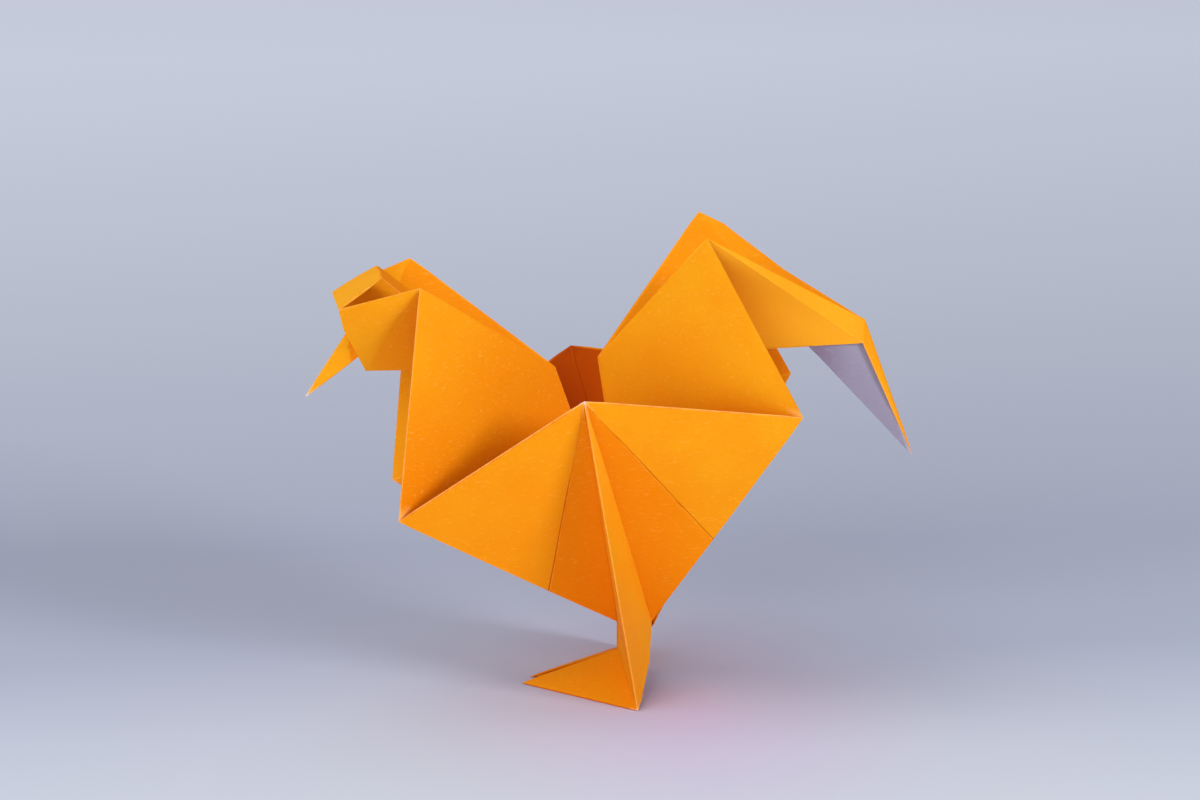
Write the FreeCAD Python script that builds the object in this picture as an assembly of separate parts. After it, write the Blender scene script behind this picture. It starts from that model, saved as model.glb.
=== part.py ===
"""Origami rooster, folded from one square of paper that is coloured on its outer face.

The sheet stays one piece.  Its four corner flaps become the neck with the head, the tail and
two side panels, each pleated in its middle into a leg.  The centre of the sheet is sunk
between the side panels as an open pocket.  X runs from beak to tail, Y across, Z up.
Heights are measured from the ground, reaches forward and back from the side panels' peaks.
"""
import FreeCAD
import Part
import os

# ---- paper ------------------------------------------------------------------------------
paper_thickness = 0.3       # the two plies of a flap pressed together
sharpest_mitre = 2.0        # how far a fold's corner may stand out, in half thicknesses

# ---- side panels and the open pocket ------------------------------------------------------
peak_height = 47.0
peak_half_width = 15.2
breast_reach = 26.8
breast_height = 28.1
breast_half_width = 10.8
near_rump_reach = 32.1
far_rump_reach = 32.5
rump_height = 43.0
rump_half_width = 11.9
keel_height = 9.0
keel_front_reach = 6.0
keel_rear_reach = 10.8
far_keel_slip = 0.6         # the far panel's rear corner shows past and below the near one
far_keel_drop = 1.1
keel_half_width = 0.8
front_crease_place = 0.68   # along a lower edge, where the scored crease from the peak ends
rear_crease_place = 0.59
crease_bulge = 0.35
pocket_floor_reach = 8.0
pocket_floor_height = 20.0

# ---- legs and feet ------------------------------------------------------------------------
heel_reach = 7.8
heel_half_width = 15.6
heel_back_rise = 0.8
near_toe_reach = 8.3
far_toe_reach = 7.0
toe_half_width = 1.4
near_instep_height = 4.8
far_instep_height = 4.0
instep_half_width = 1.2
ankle_reach = 10.1
ankle_height = 4.5
ankle_half_width = 5.8
sole_gap = 1.5              # between the two plies of a foot at the instep

# ---- neck and head ------------------------------------------------------------------------
neck_root_reach = 0.4
neck_root_height = 37.0
neck_bend_reach = 3.4
neck_bend_height = 48.0
near_nape_reach = 23.4
far_nape_reach = 24.1
nape_height = 62.6
nape_half_width = 8.6
near_brow_reach = 35.0
far_brow_reach = 35.6
brow_height = 58.6
brow_half_width = 5.0
cheek_reach = 34.3
cheek_height = 55.3
cheek_half_width = 3.36
throat_reach = 31.0
throat_height = 48.1
near_comb_reach = 28.7
far_comb_reach = 29.1
comb_height = 62.9
comb_half_width = 3.5
comb_foot_reach = 18.5
comb_foot_height = 54.0
beak_tip_reach = 39.8
beak_tip_height = 44.2
beak_root_reach = 31.1
beak_root_height = 57.7
beak_crease_place = 0.29    # from its root to its tip, where the crease to its jaw begins
beak_jaw_reach = 31.0
beak_jaw_height = 51.3
beak_jaw_half_width = 1.1
beak_anchor_reach = 28.0    # where its plies run out into the walls of the head
beak_anchor_height = 53.5

# ---- tail ---------------------------------------------------------------------------------
tail_root_reach = 4.4
tail_root_height = 40.4
tail_bend_reach = 3.1
tail_bend_height = 49.4
crest_reach = 18.4
crest_height = 69.1
crest_half_width = 7.7
swell_reach = 22.1          # the far top edge swells out here
swell_height = 67.2
swell_half_width = 7.4
dip_place = 0.43            # from the swell to the flap's end, where the far edge dips
dip_depth = 0.7
plume_end_reach = 42.1
plume_end_height = 54.4
plume_lip_reach = 41.8
plume_lip_height = 51.1
plume_lip_half_width = 1.4
plume_split_place = 0.795   # along the flap's lower edge, where the opened tip starts
plume_tip_reach = 49.4
plume_tip_height = 33.5

NEAR = -1
FAR = 1


def point(reach, half_width, height):
    return FreeCAD.Vector(reach, half_width, height)


def on_side(side, near_value, far_value):
    return near_value if side == NEAR else far_value


def between(start, end, share):
    return start + (end - start) * share


def normal_of(triangle):
    first, second, third = triangle
    return (second - first).cross(third - first).normalize()


def same_way_round(triangles):
    """Turn the triangles so that neighbours run along their common edge in opposite ways."""
    turned = [triangles[0]]
    waiting = list(triangles[1:])
    while waiting:
        for triangle in waiting:
            match = neighbour_turn(triangle, turned)
            if match:
                turned.append(match)
                waiting.remove(triangle)
                break
        else:
            raise ValueError("the facets of one strip don't all meet")
    return turned


def edges_of(triangle):
    return [(key(triangle[i]), key(triangle[(i + 1) % 3])) for i in range(3)]


def key(vector):
    return (round(vector.x, 6), round(vector.y, 6), round(vector.z, 6))


def neighbour_turn(triangle, turned):
    """The triangle, reversed if need be, or None where it meets none of the turned ones."""
    used = {edge for done in turned for edge in edges_of(done)}
    flipped = (triangle[0], triangle[2], triangle[1])
    if any((end, start) in used for start, end in edges_of(triangle)):
        return triangle
    if any((end, start) in used for start, end in edges_of(flipped)):
        return flipped
    return None


def mitre(normals):
    """The step from a corner that leaves every facet around it by one unit, as far as it can."""
    softness = 0.03
    rows = [[softness if i == j else 0.0 for j in range(3)] for i in range(3)]
    total = FreeCAD.Vector()
    for normal in normals:
        total = total + normal
        for i in range(3):
            for j in range(3):
                rows[i][j] += normal[i] * normal[j]
    matrix = FreeCAD.Matrix(*rows[0], 0, *rows[1], 0, *rows[2], 0, 0, 0, 0, 1)
    step = matrix.inverse().multVec(total)
    if step.Length > sharpest_mitre:
        step = step.normalize() * sharpest_mitre
    return step


def folded(triangles):
    """A closed solid: the folded strip given by its middle surface, with the paper's thickness."""
    triangles = same_way_round(triangles)
    around = {}
    for triangle in triangles:
        for corner in triangle:
            around.setdefault(key(corner), []).append(normal_of(triangle))
    lift = {spot: mitre(normals) * (paper_thickness / 2) for spot, normals in around.items()}
    used = {edge for triangle in triangles for edge in edges_of(triangle)}
    faces = []
    for triangle in triangles:
        upper = [corner + lift[key(corner)] for corner in triangle]
        lower = [corner - lift[key(corner)] for corner in triangle]
        faces.append(upper)
        faces.append(lower[::-1])
        for i in range(3):
            j = (i + 1) % 3
            if (key(triangle[j]), key(triangle[i])) not in used:
                faces.append([upper[j], upper[i], lower[i]])
                faces.append([upper[j], lower[i], lower[j]])
    shell = Part.Shell([Part.Face(Part.makePolygon(face + [face[0]])) for face in faces])
    solid = Part.Solid(shell)
    if solid.Volume < 0:
        solid.reverse()
    return solid


# ---- fold points on the middle plane --------------------------------------------------------
neck_root = point(neck_root_reach, 0, neck_root_height)
neck_bend = point(-neck_bend_reach, 0, neck_bend_height)
tail_root = point(tail_root_reach, 0, tail_root_height)
tail_bend = point(tail_bend_reach, 0, tail_bend_height)
pocket_floor = point(pocket_floor_reach, 0, pocket_floor_height)
throat = point(-throat_reach, 0, throat_height)
plume_end = point(plume_end_reach, 0, plume_end_height)
plume_tip = point(plume_tip_reach, 0, plume_tip_height)
plume_lip = point(plume_lip_reach, -plume_lip_half_width, plume_lip_height)
plume_split = between(tail_bend, plume_lip, plume_split_place)


# ---- fold points on either side -------------------------------------------------------------
def peak(side):
    return point(0, side * peak_half_width, peak_height)


def breast(side):
    return point(-breast_reach, side * breast_half_width, breast_height)


def rump(side):
    reach = on_side(side, near_rump_reach, far_rump_reach)
    return point(reach, side * rump_half_width, rump_height)


def nape(side):
    reach = on_side(side, near_nape_reach, far_nape_reach)
    return point(-reach, side * nape_half_width, nape_height)


def brow(side):
    reach = on_side(side, near_brow_reach, far_brow_reach)
    return point(-reach, side * brow_half_width, brow_height)


def crest(side):
    return point(crest_reach, side * crest_half_width, crest_height)


def heel(side):
    return point(heel_reach, side * heel_half_width, 0)


def instep(side):
    height = on_side(side, near_instep_height, far_instep_height)
    return point(keel_front_reach, side * instep_half_width, height)


def ankle(side):
    return point(ankle_reach, side * ankle_half_width, ankle_height)


def toe(side):
    reach = on_side(side, near_toe_reach, far_toe_reach)
    return point(-reach, side * toe_half_width, 0)


def side_panel(side):
    """A side panel from the pocket's rim to the keel, with its middle pleated into a leg."""
    keel_front = point(keel_front_reach, side * keel_half_width, keel_height)
    keel_rear = point(keel_rear_reach, side * keel_half_width, keel_height)
    keel_rear += on_side(side, point(0, 0, 0), point(far_keel_slip, 0, -far_keel_drop))
    bulge = point(0, side * crease_bulge, 0)
    front_crease = between(breast(side), keel_front, front_crease_place) + bulge
    rear_crease = between(rump(side), keel_rear, rear_crease_place) + bulge
    heel_back = between(heel(side), ankle(side), 0.24) + point(0, 0, -heel_back_rise / 3)
    return folded([
        (breast(side), peak(side), front_crease),
        (front_crease, peak(side), keel_front),
        (keel_front, peak(side), heel(side)),
        (keel_front, heel(side), instep(side)),
        (instep(side), heel(side), toe(side)),
        (heel(side), peak(side), keel_rear),
        (heel(side), keel_rear, ankle(side)),
        (heel(side), ankle(side), heel_back),
        (keel_rear, peak(side), rear_crease),
        (rear_crease, peak(side), rump(side)),
    ])


def sole(side):
    """The second ply of a foot, under the first and open to it along the instep."""
    lower_instep = instep(side) - point(0, 0, sole_gap)
    return folded([
        (toe(side), heel(side), lower_instep),
        (lower_instep, heel(side), ankle(side)),
    ])


def pocket():
    """The sunk centre of the sheet, hung from the rim's corners and peaks and closed at a point."""
    facets = []
    for side in (NEAR, FAR):
        facets += [
            (breast(side), peak(side), pocket_floor),
            (peak(side), rump(side), pocket_floor),
            (breast(side), pocket_floor, neck_root),
            (rump(side), tail_root, pocket_floor),
        ]
    return folded(facets)


def neck():
    """Both halves of the neck, joined at the spine and open towards the breast."""
    facets = []
    for side in (NEAR, FAR):
        facets += [
            (breast(side), neck_root, neck_bend),
            (breast(side), neck_bend, nape(side)),
        ]
    return folded(facets)


def head():
    """The head, turned forward inside the neck: two cheeks joined along the lower edge."""
    facets = []
    for side in (NEAR, FAR):
        cheek = point(-cheek_reach, side * cheek_half_width, cheek_height)
        facets += [
            (neck_bend, nape(side), throat),
            (nape(side), cheek, throat),
            (nape(side), brow(side), cheek),
        ]
    return folded(facets)


def comb():
    """The paper left over at the head, pleated up into a ridge between the brows."""
    ridge = [point(-on_side(side, near_comb_reach, far_comb_reach), side * comb_half_width,
                   comb_height) for side in (NEAR, FAR)]
    foot = [point(-comb_foot_reach, side * comb_half_width, comb_foot_height)
            for side in (NEAR, FAR)]
    return folded([
        (brow(NEAR), brow(FAR), ridge[1]),
        (brow(NEAR), ridge[1], ridge[0]),
        (ridge[0], ridge[1], foot[1]),
        (ridge[0], foot[1], foot[0]),
    ])


def beak():
    """The end of the head's flap, folded along its top and pointing down from the cheeks."""
    root = point(-beak_root_reach, 0, beak_root_height)
    tip = point(-beak_tip_reach, 0, beak_tip_height)
    crease = between(root, tip, beak_crease_place)
    facets = []
    for side in (NEAR, FAR):
        jaw = point(-beak_jaw_reach, side * beak_jaw_half_width, beak_jaw_height)
        spread = nape_half_width * (beak_anchor_height - throat_height)
        spread /= nape_height - throat_height
        anchor = point(-beak_anchor_reach, side * spread, beak_anchor_height)
        facets += [
            (crease, tip, jaw),
            (root, crease, jaw),
            (root, jaw, anchor),
        ]
    return folded(facets)


def tail():
    """Both halves of the tail, joined at the spine and open towards the rump."""
    facets = []
    for side in (NEAR, FAR):
        facets += [
            (rump(side), tail_root, tail_bend),
            (rump(side), tail_bend, crest(side)),
        ]
    return folded(facets)


def plume():
    """The tail's flap, turned back inside the tail, with its tip bent down and opened."""
    swell = point(swell_reach, swell_half_width, swell_height)
    dip = between(swell, plume_end, dip_place) - point(0, 0, dip_depth)
    return folded([
        (tail_bend, crest(NEAR), plume_split),
        (crest(NEAR), plume_end, plume_lip),
        (crest(NEAR), plume_lip, plume_split),
        (plume_end, plume_tip, plume_lip),
        (tail_bend, plume_split, crest(FAR)),
        (crest(FAR), plume_split, swell),
        (swell, plume_split, dip),
        (dip, plume_split, plume_end),
        (plume_end, plume_split, plume_tip),
    ])


def rooster():
    strips = [side_panel(NEAR), side_panel(FAR), sole(NEAR), sole(FAR), pocket(),
              neck(), head(), comb(), beak(), tail(), plume()]
    whole = strips[0].multiFuse(strips[1:]).removeSplitter()
    box = whole.BoundBox
    whole.translate(FreeCAD.Vector(-box.Center.x, -box.Center.y, -box.ZMin))
    return whole


os.makedirs("parts", exist_ok=True)
rooster().exportStep("parts/folded_sheet.step")
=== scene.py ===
import bpy
import math
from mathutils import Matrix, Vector, noise


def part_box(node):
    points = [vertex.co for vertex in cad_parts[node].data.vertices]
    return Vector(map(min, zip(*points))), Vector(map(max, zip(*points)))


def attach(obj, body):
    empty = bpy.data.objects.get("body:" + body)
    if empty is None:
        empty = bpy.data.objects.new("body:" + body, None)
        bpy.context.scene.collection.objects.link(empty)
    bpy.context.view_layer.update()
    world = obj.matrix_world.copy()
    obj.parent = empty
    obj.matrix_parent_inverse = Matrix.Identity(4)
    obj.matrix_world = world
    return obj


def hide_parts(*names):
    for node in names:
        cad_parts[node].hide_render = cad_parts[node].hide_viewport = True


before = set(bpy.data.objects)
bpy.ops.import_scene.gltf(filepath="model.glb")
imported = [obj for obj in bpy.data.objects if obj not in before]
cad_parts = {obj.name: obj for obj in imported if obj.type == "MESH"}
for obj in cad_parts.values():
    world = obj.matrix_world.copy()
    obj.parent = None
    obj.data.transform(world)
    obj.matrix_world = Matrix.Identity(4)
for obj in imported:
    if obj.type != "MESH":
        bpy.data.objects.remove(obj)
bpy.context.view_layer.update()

# ---- Side panels ------------------------------------------------------------------------
# The two sides of the body, each a flap of the square hanging from the pocket's rim to the
# keel. Origami paper, orange on its outer face, with two scored creases that fan out from
# the peak. The paper bows a little between its folds.
beak_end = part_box("folded_sheet")[0]
peak_line = beak_end.x + 0.04005        # the peaks stand this far behind the beak's tip
near_side = -1
far_side = 1
sides = (near_side, far_side)
rubbed_width = 0.22                     # mm, the border on each side of a fold, about as wide as its rubbing and painted highlight
ripple = 0.22                           # mm, how far the paper waves between its folds
ripple_length = 13                      # mm
edge_lift = 0.145                       # mm, from the ground to the middle of the paper on it
flat_cuts = 11                          # lines that divide each flat, so that it can bow
main_sheet = []


def to_linear(hex_colour):
    """An sRGB hex colour as the linear one that a shader's socket holds."""
    channels = [int(hex_colour[i:i + 2], 16) / 255 for i in (1, 3, 5)]
    return [c / 12.92 if c <= 0.04045 else ((c + 0.055) / 1.055) ** 2.4 for c in channels] + [1]


def add_node(material, kind, settings=None, inputs=None, links=None):
    """Adds a node, sets its properties and input values, and links its inputs to outputs."""
    node = material.node_tree.nodes.new(kind)
    for name, value in (settings or {}).items():
        setattr(node, name, value)
    for name, value in (inputs or {}).items():
        node.inputs[name].default_value = value
    for name, output in (links or {}).items():
        material.node_tree.links.new(output, node.inputs[name])
    return node


def craft_paper(name, colour, painted_shading, deepest_painted_shade, painted_light, cloud, fibre, crease_shade, rubbed_and_highlit, bare):
    """Uncoated craft paper: dyed pulp, a little cloudy, with short fine fibres, matt. Painted
    shade makes it deeper where little light reaches it and inside a crease, and painted light
    makes it paler on the brightest faces. Along a fold it is paler, partly from rubbing and
    partly as a painted highlight, and it is worn down to the bare pulp at the sharpest corners.
    Clouds are about 9 mm across, fibres 0.35 mm by 1 mm, worn flecks 0.9 mm. The tooth of
    the surface is drawn at 0.7 mm, coarser than real, so that it shows."""
    paper = bpy.data.materials.new(name)
    paper.use_nodes = True
    shader = paper.node_tree.nodes["Principled BSDF"]
    shader.inputs["Roughness"].default_value = 0.7
    shader.inputs["Specular IOR Level"].default_value = 0.06
    place = add_node(paper, "ShaderNodeTexCoord").outputs["Object"]
    along = add_node(paper, "ShaderNodeMapping", inputs={"Scale": (1 / 3, 1, 1)},
                     links={"Vector": place}).outputs["Vector"]
    clouds = add_node(paper, "ShaderNodeTexNoise", inputs={"Scale": 1000 / 9, "Detail": 3},
                      links={"Vector": place}).outputs["Fac"]
    fibres = add_node(paper, "ShaderNodeTexNoise", inputs={"Scale": 1000 / 0.35},
                      links={"Vector": along}).outputs["Fac"]
    flecks = add_node(paper, "ShaderNodeTexNoise", inputs={"Scale": 1000 / 0.9},
                      links={"Vector": place}).outputs["Fac"]
    tooth = add_node(paper, "ShaderNodeTexNoise", inputs={"Scale": 1000 / 0.7, "Detail": 4},
                     links={"Vector": place}).outputs["Fac"]
    shading_level = add_node(paper, "ShaderNodeAttribute", {"attribute_name": "painted_shading"}).outputs["Fac"]
    wear_and_shading = add_node(paper, "ShaderNodeAttribute", {"attribute_name": "wear_and_shading"}).outputs["Fac"]
    rag = add_node(paper, "ShaderNodeMath", {"operation": "MULTIPLY_ADD"}, {1: 0.6, 2: -0.3},
                   {0: flecks}).outputs["Value"]
    ragged = add_node(paper, "ShaderNodeMath", {"operation": "ADD"},
                      links={0: wear_and_shading, 1: rag}).outputs["Value"]
    seen = None
    # Layers: random clouds, painted shade, fibres, the darkest painted shade, painted light,
    # painted crease shade, rubbing with a painted highlight, bare worn pulp.
    for value, start, full, most, layer in (
            (clouds, 0.35, 0.65, 0.6, cloud),
            (shading_level, 0, 1, 1, painted_shading),
            (fibres, 0.58, 0.76, 0.25, fibre),
            (shading_level, 1, 2, 1, deepest_painted_shade),
            (shading_level, 0, -1, 1, painted_light),
            (wear_and_shading, -0.3, -1, 0.9, crease_shade),
            (ragged, 0.35, 0.9, 0.85, rubbed_and_highlit),
            (ragged, 1.5, 1.7, 1, bare)):
        share = add_node(paper, "ShaderNodeMapRange",
                         inputs={"From Min": start, "From Max": full, "To Max": most},
                         links={"Value": value}).outputs["Result"]
        mixed = add_node(paper, "ShaderNodeMix", {"data_type": "RGBA"},
                         {"A": to_linear(colour), "B": to_linear(layer)}, {"Factor": share})
        if seen:
            paper.node_tree.links.new(seen, mixed.inputs["A"])
        seen = mixed.outputs["Result"]
    paper.node_tree.links.new(seen, shader.inputs["Base Color"])
    bump = add_node(paper, "ShaderNodeBump", inputs={"Strength": 0.3, "Distance": 0.0001},
                    links={"Height": tooth})
    paper.node_tree.links.new(bump.outputs["Normal"], shader.inputs["Normal"])
    return paper


# Of the orange paper's colours, the two deeper ones and the crease colour are painted shade, the
# paler one is painted light, and the one along folds is partly worn and partly a painted
# highlight.
orange_paper = craft_paper(
    "orange_craft_paper", colour="#F3A112", painted_shading="#EB8000", deepest_painted_shade="#CC5400", painted_light="#FFB22A",
    cloud="#F3930C", fibre="#FFBC50", crease_shade="#B84400", rubbed_and_highlit="#FFB45C", bare="#FFEFE2")
# The white back is painted a lilac grey with a darker purple: painted shade and a painted
# reflection of the floor, for the tip that hangs in shade.
shaded_white_paper = craft_paper(
    "white_paper_back_in_painted_shade", colour="#A4A6BA", painted_shading="#7E6F87", deepest_painted_shade="#7E6F87", painted_light="#A9A8BC",
    cloud="#9C98AE", fibre="#A9A8BC", crease_shade="#7E6F87", rubbed_and_highlit="#A9A8BC", bare="#C4BCCB")
bpy.context.tool_settings.mesh_select_mode = (False, True, False)       # edges


def spot(reach, half_width, height):
    """A fold's corner in metres, from mm behind the peaks, off the middle and off the ground."""
    return Vector((peak_line + reach / 1000, half_width / 1000, (height + edge_lift) / 1000))


def shift(back, out, up):
    """A move given in mm."""
    return Vector((back, out, up)) / 1000


def between(start, end, share):
    """The place that lies so far along a fold, from 0 at its start to 1 at its end."""
    return start.lerp(end, share)


def lay_flat(name, corners, crown=0.0, edge=rubbed_width, white=False, painted_shading=(0, 0, 0, 0)):
    """One flat of paper between three or four folds, with a narrow border along them. It is
    crowned by so many mm towards the eye that sees its corners go anticlockwise. At each
    corner it is painted as given: -1 the most painted light, 0 plain, 1 painted shade, 2 the
    darkest painted shade."""
    bpy.ops.object.select_all(action="DESELECT")
    bpy.ops.mesh.primitive_circle_add(vertices=len(corners), fill_type="NGON")
    flat = bpy.context.object
    flat.name = name
    mesh = flat.data
    mesh.materials.append(orange_paper)
    if white:
        mesh.materials.append(shaded_white_paper)
        mesh.polygons[0].material_index = 1
    for vertex, corner in zip(mesh.vertices, corners):
        vertex.co = corner
    bpy.ops.object.mode_set(mode="EDIT")
    bpy.ops.mesh.select_all(action="SELECT")
    if edge:
        bpy.ops.mesh.inset(thickness=edge / 1000)
    bpy.ops.mesh.select_all(action="DESELECT")
    bpy.ops.object.mode_set(mode="OBJECT")
    outer = [min((vertex.co - corner).length for corner in corners) < 1e-6
             for vertex in mesh.vertices]
    for fold in mesh.edges:
        fold.select = outer[fold.vertices[0]] == outer[fold.vertices[1]]
    bpy.ops.object.mode_set(mode="EDIT")
    bpy.ops.mesh.subdivide(number_cuts=flat_cuts)
    bpy.ops.object.mode_set(mode="OBJECT")
    folds = list(zip(corners, corners[1:] + corners[:1]))
    facing = (corners[1] - corners[0]).cross(corners[-1] - corners[0]).normalized()

    def room(place):
        """Falls from the middle of the flat to nothing at its folds."""
        return math.prod((place - a).cross(b - a).length / (b - a).length for a, b in folds)

    most = room(sum(corners, Vector()) / len(corners))
    shading_values = []
    for vertex in mesh.vertices:
        near = [1 / max((vertex.co - corner).length, 1e-6) ** 2 for corner in corners]
        shading_values.append(sum(n * shading_level for n, shading_level in zip(near, painted_shading)) / sum(near))
        wave = ripple * noise.noise(vertex.co * 1000 / ripple_length)
        vertex.co += facing * (crown + wave) / 1000 * room(vertex.co) / most
    mesh.attributes.new("painted_shading", "FLOAT", "POINT").data.foreach_set("value", shading_values)
    return flat


def peak(side):
    return spot(0, side * 15.2, 47.0)


def breast(side):
    return spot(-26.8, side * 10.8, 28.1)


def rump(side):
    return spot(32.1 if side == near_side else 32.5, side * 11.9, 43.0)


def keel_front(side):
    return spot(6.0, side * 0.8, 9.0)


def keel_rear(side):
    return spot(10.8, -0.8, 9.0) if side == near_side else spot(11.4, 0.8, 8.2)


score_stand = 0.35                      # mm, how far a scored crease stands out of the side
score_depth = 0.13                      # mm, from its lips to its bottom
score_half_width = 0.17                 # mm, from its bottom line to a lip


def scored(fold_start, fold_end, share, side):
    """A scored crease where it meets a lower edge: its front lip, its bottom and its back lip."""
    middle = between(fold_start, fold_end, share) + shift(0, side * score_stand, 0)
    lip = (fold_end - fold_start).normalized() * score_half_width / 1000
    return middle - lip, middle - shift(0, side * score_depth, 0), middle + lip


fold_wear_and_shading = []                       # start, end, how much rubbing and a painted highlight pale it (less than 0: painted crease shade)
for side in sides:
    front_lip, front_score, front_back_lip = scored(breast(side), keel_front(side), 0.68, side)
    rear_lip, rear_score, rear_back_lip = scored(keel_rear(side), rump(side), 0.41, side)
    # Painted shade on the flats that get less light, most on the belly and thigh beside the leg's
    # ridge.
    main_sheet += [
        lay_flat("breast_flat", [peak(side), breast(side), front_lip], -side * 0.5,
                 painted_shading=(0.3, 0.4, 0.3)),
        lay_flat("front_score", [peak(side), front_lip, front_score], edge=0,
                 painted_shading=(0.6, 0.6, 0.8)),
        lay_flat("front_score", [peak(side), front_score, front_back_lip], edge=0,
                 painted_shading=(0.8, 0.8, 0.8)),
        lay_flat("belly_flat", [peak(side), front_back_lip, keel_front(side)], side * 0.3,
                 painted_shading=(0.7, 0.8, 0.8)),
        lay_flat("thigh_flat", [peak(side), keel_rear(side), rear_lip], side * 0.3,
                 painted_shading=(0.8, 0.9, 0.7)),
        lay_flat("rear_score", [peak(side), rear_lip, rear_score], edge=0,
                 painted_shading=(0.4, 0.4, 0.4)),
        lay_flat("rear_score", [peak(side), rear_score, rear_back_lip], edge=0,
                 painted_shading=(0.4, 0.4, 0.1)),
        lay_flat("rump_flat", [peak(side), rear_back_lip, rump(side)], -side * 0.5,
                 painted_shading=(0, 0.3, 0)),
    ]
    # The rims get rubbing and a painted highlight; each scored crease gets a painted dark line of
    # shade and a paler lip of painted highlight.
    if side == near_side:
        fold_wear_and_shading += [(breast(side), peak(side), 1), (peak(side), rump(side), 1)]
    fold_wear_and_shading += [(peak(side), front_lip, -0.9), (peak(side), front_back_lip, 0.45),
                     (peak(side), rear_back_lip, -0.9), (peak(side), rear_lip, 0.45)]

# ---- Legs and feet ------------------------------------------------------------------------
# The middle of each side panel is pleated outwards into a ridge that runs from the peak down
# to the heel. Its end is folded forward at the heel into a foot that stands on its edge.


def heel(side):
    return spot(7.8, side * 15.6, 0)


def ankle(side):
    return spot(10.1, side * 5.8, 4.5)


def instep(side):
    return spot(6.0, side * 1.2, 4.8 if side == near_side else 4.0)


def toe(side):
    return spot(-8.3 if side == near_side else -7.0, side * 1.4, 0)


for side in sides:
    heel_back = between(heel(side), ankle(side), 0.24) + shift(0, 0, -0.27)
    # Painted shade on the leg and foot flats, painted light high on the back of the leg; the
    # ridge gets rubbing and a painted highlight.
    main_sheet += [
        lay_flat("leg_front_flat", [peak(side), keel_front(side), heel(side)],
                 painted_shading=(0.5, 0.7, 0.5)),
        lay_flat("shin_flat", [keel_front(side), heel(side), instep(side)], painted_shading=(0.3, 0.3, 0.3)),
        lay_flat("foot_flat", [instep(side), heel(side), toe(side)], side * 0.15,
                 painted_shading=(0.5, 0.5, 0.5)),
        lay_flat("leg_back_flat", [peak(side), heel(side), keel_rear(side)], side * 0.25,
                 painted_shading=(-0.5, 0.5, 0.3)),
        lay_flat("hock_flat", [keel_rear(side), heel(side), ankle(side)], painted_shading=(0.2, 0.2, 0.2)),
        lay_flat("heel_flat", [ankle(side), heel(side), heel_back], edge=0),
    ]
    fold_wear_and_shading.append((peak(side), heel(side), 0.9))

# ---- Pocket -------------------------------------------------------------------------------
# The middle of the square, sunk between the side panels. It hangs from the rim as walls that
# run down to one point, and is painted in the darkest shade, where little light reaches in.
neck_root = spot(0.4, 0, 37.0)
tail_root = spot(4.4, 0, 40.4)
pocket_floor = spot(8.0, 0, 20.0)
for side in sides:
    main_sheet += [
        lay_flat("front_wall", [breast(side), peak(side), pocket_floor], painted_shading=(2, 2, 2)),
        lay_flat("rear_wall", [peak(side), rump(side), pocket_floor], painted_shading=(2, 1.5, 2)),
        lay_flat("neck_wall", [breast(side), pocket_floor, neck_root], painted_shading=(0.5, 2, 0.5)),
        lay_flat("tail_wall", [rump(side), tail_root, pocket_floor], painted_shading=(1, 1, 2)),
    ]
    # A painted dark line of shade down the seam from each peak.
    fold_wear_and_shading.append((peak(side), pocket_floor, -1))

# ---- Neck ---------------------------------------------------------------------------------
# The front corner of the square, folded in half and drawn up. Its two halves meet along the
# spine and stand open to the front.
neck_bend = spot(-3.4, 0, 48.0)


def nape(side):
    return spot(-23.4 if side == near_side else -24.1, side * 8.6, 62.6)


for side in sides:
    # The near half is painted in shade towards the rim, where the side panel keeps light off it.
    main_sheet.append(lay_flat(
        "neck_half", [breast(side), neck_root, neck_bend, nape(side)], -side * 0.5,
        painted_shading=(1, 0.6, 0.6, 0) if side == near_side else (0, 0, 0, 0)))
    fold_wear_and_shading += [(breast(side), nape(side), 0.8), (nape(side), neck_bend, 0.4),
                     (neck_bend, neck_root, 0.5)]

# ---- Head ---------------------------------------------------------------------------------
# The end of the neck's flap, turned forward inside the neck. Two cheeks meet along the lower
# edge, and the groove between them is open upwards.
throat = spot(-31.0, 0, 48.1)


def brow(side):
    return spot(-35.0 if side == near_side else -35.6, side * 5.0, 58.6)


for side in sides:
    cheek = spot(-34.3, side * 3.36, 55.3)
    # The jaw is painted in shade, where the neck's edge shadows it.
    main_sheet += [
        lay_flat("jaw_flat", [neck_bend, nape(side), throat], side * 0.3, painted_shading=(0.6, 0.6, 0.3)),
        lay_flat("cheek_flat", [nape(side), brow(side), cheek, throat], -side * 0.2),
    ]
    fold_wear_and_shading += [(nape(side), brow(side), 0.5), (brow(side), cheek, 0.5)]

# ---- Tail ---------------------------------------------------------------------------------
# The rear corner of the square, folded in half and drawn up like the neck, but higher. Its
# halves stand open to the rear.
tail_bend = spot(3.1, 0, 49.4)


def crest(side):
    return spot(18.4, side * 7.7, 69.1)


for side in sides:
    # The far half is painted in shade towards the rump, and the near half a little at its rump
    # corner.
    main_sheet.append(lay_flat(
        "tail_half", [rump(side), tail_root, tail_bend, crest(side)], side * 0.5,
        painted_shading=(0.2, 0, 0, 0) if side == near_side else (1, 0.7, 0, 0)))
    fold_wear_and_shading += [(tail_root, tail_bend, 0.5), (tail_bend, crest(side), 0.4)]

# ---- Tail flap ----------------------------------------------------------------------------
# The end of the tail, turned back inside it as a groove. Its tip is bent down and opened, so
# that the white face shows beside a narrow hem of the coloured one.
plume_end = spot(42.1, 0, 54.4)
plume_lip = spot(41.8, -0.9, 51.1)
plume_tip = spot(49.4, 0, 33.5)
plume_split = between(tail_bend, plume_lip, 0.795)
swell = spot(22.1, 7.4, 67.2)
dip = between(swell, plume_end, 0.43) - shift(0, 0, 0.7)
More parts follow.
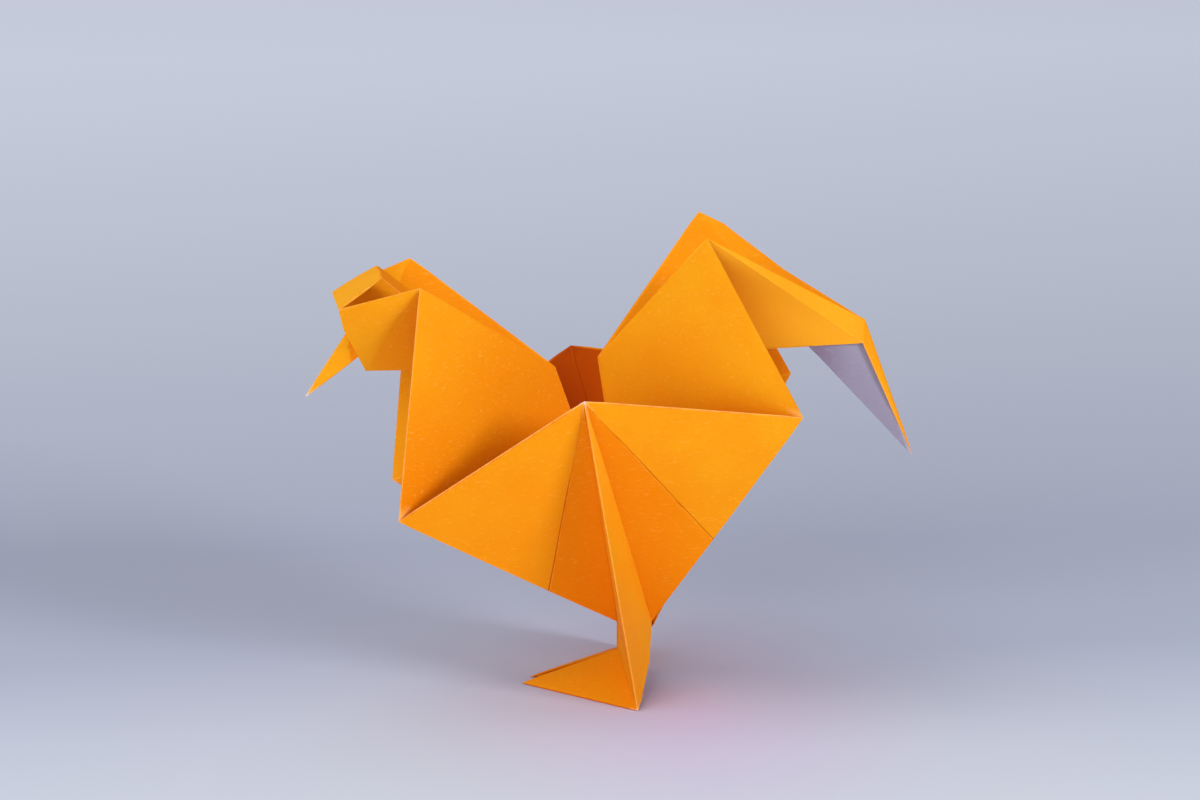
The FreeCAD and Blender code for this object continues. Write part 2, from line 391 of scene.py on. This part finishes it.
# Painted shade at the plume's root, on its far flats and in the white tip's middle; painted light
# on its upper faces.
main_sheet += [
    lay_flat("plume_side", [tail_bend, crest(near_side), plume_lip, plume_split], 0.6,
             painted_shading=(1, -0.7, -0.7, -0.6)),
    lay_flat("plume_top", [crest(near_side), plume_end, plume_lip], 0.2,
             painted_shading=(-0.3, -0.3, -0.3)),
    lay_flat("hem", [plume_end, plume_tip, plume_lip]),
    lay_flat("plume_far_root", [tail_bend, plume_split, crest(far_side)], painted_shading=(0.4, 0.4, 0.4)),
    lay_flat("plume_far_swell", [crest(far_side), plume_split, swell], painted_shading=(0.3, 0.3, 0.3)),
    lay_flat("plume_far_dip", [swell, plume_split, dip], painted_shading=(0.3, 0.3, 0.3)),
    lay_flat("plume_far_end", [dip, plume_split, plume_end], painted_shading=(0.3, 0.3, 0.3)),
    lay_flat("tip_flat", [plume_end, plume_split, plume_tip], white=True, painted_shading=(0, 1, 0.6)),
]
fold_wear_and_shading.append((plume_lip, plume_tip, 0.9))

# ---- The sheet joined ---------------------------------------------------------------------
# All the flats above are one piece of paper, coloured on one face: they are joined along
# their folds and given the thickness of the pressed plies, thinner at the sharpest points.
paper_thickness = 0.3                   # mm
point_share = 0.2                       # the share of the thickness left at a sharp point
point_length = 2.5                      # mm, how far a sharp point thins out
worn_length = 2.5                       # mm, how far the wear of a corner reaches
fold_reach = 0.2                        # mm, how far from a fold its mark reaches
fold_tie = 0.005                        # mm, folds as near as this are equal: the first counts
hidden_height = 9.5                     # mm, below it the inner faces are painted in the darkest shade
merge_distance = 0.002                  # mm, far under the 0.014 mm grid of a scored crease
smooth_angle = 9                        # degrees, the paper's bow is smooth and its folds sharp


def join_flats(name, flats):
    """Joins flats along their folds into one skin that faces outwards."""
    bpy.ops.object.select_all(action="DESELECT")
    for flat in flats:
        flat.select_set(True)
    bpy.context.view_layer.objects.active = flats[0]
    bpy.ops.object.join()
    skin = bpy.context.object
    skin.name = name
    skin.data.name = name
    bpy.ops.object.mode_set(mode="EDIT")
    bpy.ops.mesh.select_all(action="SELECT")
    bpy.ops.mesh.remove_doubles(threshold=merge_distance / 1000)
    bpy.ops.mesh.normals_make_consistent(inside=False)
    bpy.ops.object.mode_set(mode="OBJECT")
    outermost = min(skin.data.polygons, key=lambda face: face.center.y)
    if outermost.normal.y > 0:
        skin.data.flip_normals()
    return skin


def thicken(skin, points):
    """Gives the skin its thickness, which runs out towards the sharp points, and paints the
    inner faces low in the legs and feet in the darkest painted shade, where little light reaches."""
    full = skin.vertex_groups.new(name="full_thickness")
    for vertex in skin.data.vertices:
        reach = min((vertex.co - point).length for point in points) * 1000
        full.add([vertex.index], min(1, reach / point_length), "REPLACE")
    plies = skin.modifiers.new("plies", "SOLIDIFY")
    plies.thickness = paper_thickness / 1000
    plies.offset = 0
    plies.vertex_group = full.name
    plies.thickness_vertex_group = point_share
    plies.shell_vertex_group = skin.vertex_groups.new(name="inner").name
    bpy.ops.object.modifier_apply(modifier=plies.name)
    inner = skin.vertex_groups["inner"].index
    shading_values = skin.data.attributes["painted_shading"].data
    for vertex in skin.data.vertices:
        groups = [group.group for group in vertex.groups]
        if vertex.co.z * 1000 < hidden_height and inner in groups:
            shading_values[vertex.index].value = 2


def mark_wear_and_shading(sheet, folds, worn):
    """Writes the fold marks, which follow the nearest fold: up to 1 where rubbing and a
    painted highlight make it paler, less than 0 for the painted shade inside a crease, and up
    to 2 where such a fold meets a worn corner."""
    wear_and_shading = []
    for vertex in sheet.data.vertices:
        nearest, most = fold_reach, 0
        for start, end, mark in folds:
            share = (vertex.co - start).dot(end - start) / (end - start).length_squared
            reach = (vertex.co - between(start, end, min(1, max(0, share)))).length * 1000
            if reach < nearest - fold_tie:
                nearest, most = reach, mark
        for corner in worn:
            reach = (vertex.co - corner).length * 1000
            if most > 0 and reach < worn_length:
                most = 2 - reach / worn_length
        wear_and_shading.append(most)
    sheet.data.attributes.new("wear_and_shading", "FLOAT", "POINT").data.foreach_set("value", wear_and_shading)


def make_sheet(name, flats, points, folds, worn):
    """One finished piece of folded paper, with its sharp points, its folds marked by rubbing,
    painted highlights and painted crease shade, and its worn corners."""
    sheet = join_flats(name, flats)
    thicken(sheet, points)
    mark_wear_and_shading(sheet, folds, worn)
    bpy.ops.object.shade_smooth_by_angle(angle=math.radians(smooth_angle))
    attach(sheet, "root")
    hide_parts("folded_sheet")
    return sheet


points = [plume_tip]
for side in sides:
    points += [peak(side), breast(side), rump(side), nape(side), crest(side), heel(side),
               toe(side)]
worn_corners = [peak(near_side), heel(near_side), heel(far_side)]
sheet = make_sheet("sheet", main_sheet, points, fold_wear_and_shading, worn_corners)
for face in sheet.data.polygons:        # the coloured face of the tip, which looks backwards
    if face.center.x > plume_split.x and face.normal.y > 0:
        face.material_index = 0

# ---- Comb ---------------------------------------------------------------------------------
# The paper left over at the head, pleated up between the brows into a small roof. It is the
# same sheet, held only by the folds on each side of it.
ridge_near = spot(-28.7, -3.5, 62.9)
ridge_far = spot(-29.1, 3.5, 62.9)
foot_near = spot(-18.5, -3.5, 54.0)
foot_far = spot(-18.5, 3.5, 54.0)
# Painted light on the front slope, which faces up, and painted shade on the back slope.
comb_flats = [
    lay_flat("comb_front", [brow(near_side), brow(far_side), ridge_far, ridge_near],
             painted_shading=(-0.5, -0.5, -0.5, -0.5)),
    lay_flat("comb_back", [ridge_near, ridge_far, foot_far, foot_near],
             painted_shading=(0.8, 0.8, 0.8, 0.8)),
]
comb_folds = [(ridge_near, ridge_far, 0.5), (brow(near_side), ridge_near, 0.5),
              (ridge_near, foot_near, 0.5)]
make_sheet("comb", comb_flats, [ridge_near, ridge_far, brow(near_side), brow(far_side)],
           comb_folds, [])

# ---- Beak ---------------------------------------------------------------------------------
# The very corner of the head's flap, folded along its top and pointing down from the cheeks.
# A crease sets its end off from the plies that run back into the head.
beak_root = spot(-31.1, 0, 57.7)
beak_point = spot(-39.8, 0, 44.2)
beak_crease = between(beak_root, beak_point, 0.29)
beak_flats = []
beak_folds = []
for side in sides:
    jaw = spot(-31.0, side * 1.1, 51.3)
    anchor = spot(-28.0, side * 3.2, 53.5)
    crease_foot = between(jaw, beak_point, 0.26) + shift(0, side * 0.3, 0)
    # The middle and inner flats are painted in shade, where the cheeks shadow them.
    beak_flats += [
        lay_flat("beak_end", [beak_crease, beak_point, crease_foot]),
        lay_flat("beak_middle", [beak_crease, crease_foot, jaw], painted_shading=(0.9, 0.9, 0.9)),
        lay_flat("beak_inner", [beak_root, beak_crease, jaw, anchor], painted_shading=(0.9, 0.9, 0.9, 0.9)),
    ]
    beak_folds += [(beak_root, beak_point, 0.6), (beak_point, crease_foot, 0.5)]
make_sheet("beak", beak_flats, [beak_point], beak_folds, [beak_point])

# ---- Soles --------------------------------------------------------------------------------
# The second ply of each foot, the same paper folded back under the first. It lies open to it
# along the instep.
sole_gap = 1.5                          # mm, how far it hangs below the instep
for side, name in ((near_side, "near_sole"), (far_side, "far_sole")):
    lower = instep(side) - shift(0, 0, sole_gap)
    # The soles are painted in shade, between the plies of the foot.
    sole_flats = [
        lay_flat("sole_front", [toe(side), heel(side), lower], painted_shading=(1, 1, 1)),
        lay_flat("sole_back", [lower, heel(side), ankle(side)], painted_shading=(1, 1, 1)),
    ]
    make_sheet(name, sole_flats, [toe(side), heel(side)], [], [heel(side)])

# ---- Floor --------------------------------------------------------------------------------
# A pale matt board, not part of the object. It throws light back up as white card
# does. To the eye it shows greys graded from front to back, with a darker band of painted
# shade behind the rooster and a spot of painted light beside the foot, mauve as a painted
# reflection of the paper.
bpy.ops.object.select_all(action="DESELECT")
bpy.ops.mesh.primitive_plane_add(size=6, location=(0, 0, 0))
floor = bpy.context.object
floor.name = "floor"
board = bpy.data.materials.new("pale_matt_board")
board.use_nodes = True
board_shader = board.node_tree.nodes["Principled BSDF"]
board_shader.inputs["Roughness"].default_value = 0.9
board_shader.inputs["Specular IOR Level"].default_value = 0.1
board_place = add_node(board, "ShaderNodeTexCoord")
board_depth = add_node(board, "ShaderNodeSeparateXYZ",
                       links={"Vector": board_place.outputs["Object"]})
board_ramp = add_node(board, "ShaderNodeMapRange",
                      inputs={"From Min": -0.06, "From Max": 0.40},
                      links={"Value": board_depth.outputs["Y"]})
# The board's greys, graded from front to back, with a darker band of painted shade behind the
# rooster.
board_colour = add_node(board, "ShaderNodeValToRGB", links={"Fac": board_ramp.outputs["Result"]})
tones = board_colour.color_ramp
tones.elements[0].position = 0.0
tones.elements[0].color = to_linear("#CCD2DF")
tones.elements[1].position = 1.0
tones.elements[1].color = to_linear("#DADFEF")
for place, colour in ((0.08, "#C2C8D8"), (0.16, "#AEB4C8"),
                      (0.28, "#A8ADC1"), (0.55, "#BCC2D1")):
    tones.elements.new(place).color = to_linear(colour)
# A spot of painted light beside the foot that lifts the shadow there, mauve as a painted
# reflection of the paper.
board_near = add_node(board, "ShaderNodeMapping", {"vector_type": "TEXTURE"},
                      {"Location": (0.010, -0.018, 0), "Scale": (0.05, 0.08, 1)},
                      {"Vector": board_place.outputs["Object"]})
painted_light_spot = add_node(board, "ShaderNodeTexGradient", {"gradient_type": "QUADRATIC_SPHERE"},
                      links={"Vector": board_near.outputs["Vector"]})
painted_mauve_light = add_node(board, "ShaderNodeMix", {"data_type": "RGBA"},
                        {"B": to_linear("#CEC3E4")},
                        {"Factor": painted_light_spot.outputs["Fac"], "A": board_colour.outputs["Color"]})
board_path = add_node(board, "ShaderNodeLightPath")
board_glance = add_node(board, "ShaderNodeMath", {"operation": "MAXIMUM"},
                        links={0: board_path.outputs["Is Camera Ray"],
                               1: board_path.outputs["Is Glossy Ray"]})
board_sight = add_node(board, "ShaderNodeMath", {"operation": "MAXIMUM"},
                       links={0: board_glance.outputs["Value"],
                              1: board_path.outputs["Is Transmission Ray"]})
board_seen = add_node(board, "ShaderNodeMix", {"data_type": "RGBA"},
                      {"A": to_linear("#F2F0F6")}, {"Factor": board_sight.outputs["Value"]})
board.node_tree.links.new(painted_mauve_light.outputs["Result"], board_seen.inputs["B"])
board.node_tree.links.new(board_seen.outputs["Result"], board_shader.inputs["Base Color"])
floor.data.materials.append(board)

# ---- Light --------------------------------------------------------------------------------
# Soft boxes at the front left, at the front right and overhead, and a weaker one behind,
# in a pale room.
world = bpy.data.worlds.new("room")
bpy.context.scene.world = world
world.use_nodes = True
world.node_tree.nodes["Background"].inputs["Color"].default_value = to_linear("#E4E9F5")
world.node_tree.nodes["Background"].inputs["Strength"].default_value = 0.15
lamp_aim = Vector((0, 0, 0.035))        # the middle of the body
lamp_distance = 1.3
for name, bearing, elevation, watts, size in (      # degrees, watts and metres
        ("left_box", -32, 25, 8.2, 1.0),
        ("right_box", 50, 22, 8.8, 0.4),
        ("top_box", -90, 65, 8.8, 1.0),
        ("rear_box", 180, 55, 2.3, 0.8)):
    direction = Vector((math.sin(math.radians(bearing)) * math.cos(math.radians(elevation)),
                        -math.cos(math.radians(bearing)) * math.cos(math.radians(elevation)),
                        math.sin(math.radians(elevation))))
    lamp = bpy.data.lights.new(name, "AREA")
    lamp.energy = watts
    lamp.size = size
    lamp_object = bpy.data.objects.new(name, lamp)
    bpy.context.scene.collection.objects.link(lamp_object)
    lamp_object.location = lamp_aim + direction * lamp_distance
    lamp_object.rotation_euler = direction.to_track_quat("Z", "Y").to_euler()

# ---- Camera -------------------------------------------------------------------------------
# A long lens from the near side, a little towards the head and above. It aims a touch high,
# which leaves more room over the rooster than under it.
camera_data = bpy.data.cameras.new("camera")
camera = bpy.data.objects.new("camera", camera_data)
bpy.context.scene.collection.objects.link(camera)
camera_data.sensor_width = 36
camera_data.lens = 233.96
camera_data.clip_start = 0.05
camera_data.clip_end = 20
camera_distance = 1.1433
view = Vector((0.065256, 0.959044, -0.275637))      # the way it looks
upright = Vector((0.018712, 0.275001, 0.961262))    # square to that
aim = Vector((-0.001488, 0, 0.041372))
raised = 0.00157                        # how far above the aim it points
camera.location = aim - view * camera_distance
sight = aim + upright * raised - camera.location
camera.rotation_euler = sight.to_track_quat("-Z", "Y").to_euler()
bpy.context.scene.camera = camera
bpy.context.scene.view_settings.view_transform = "Standard"
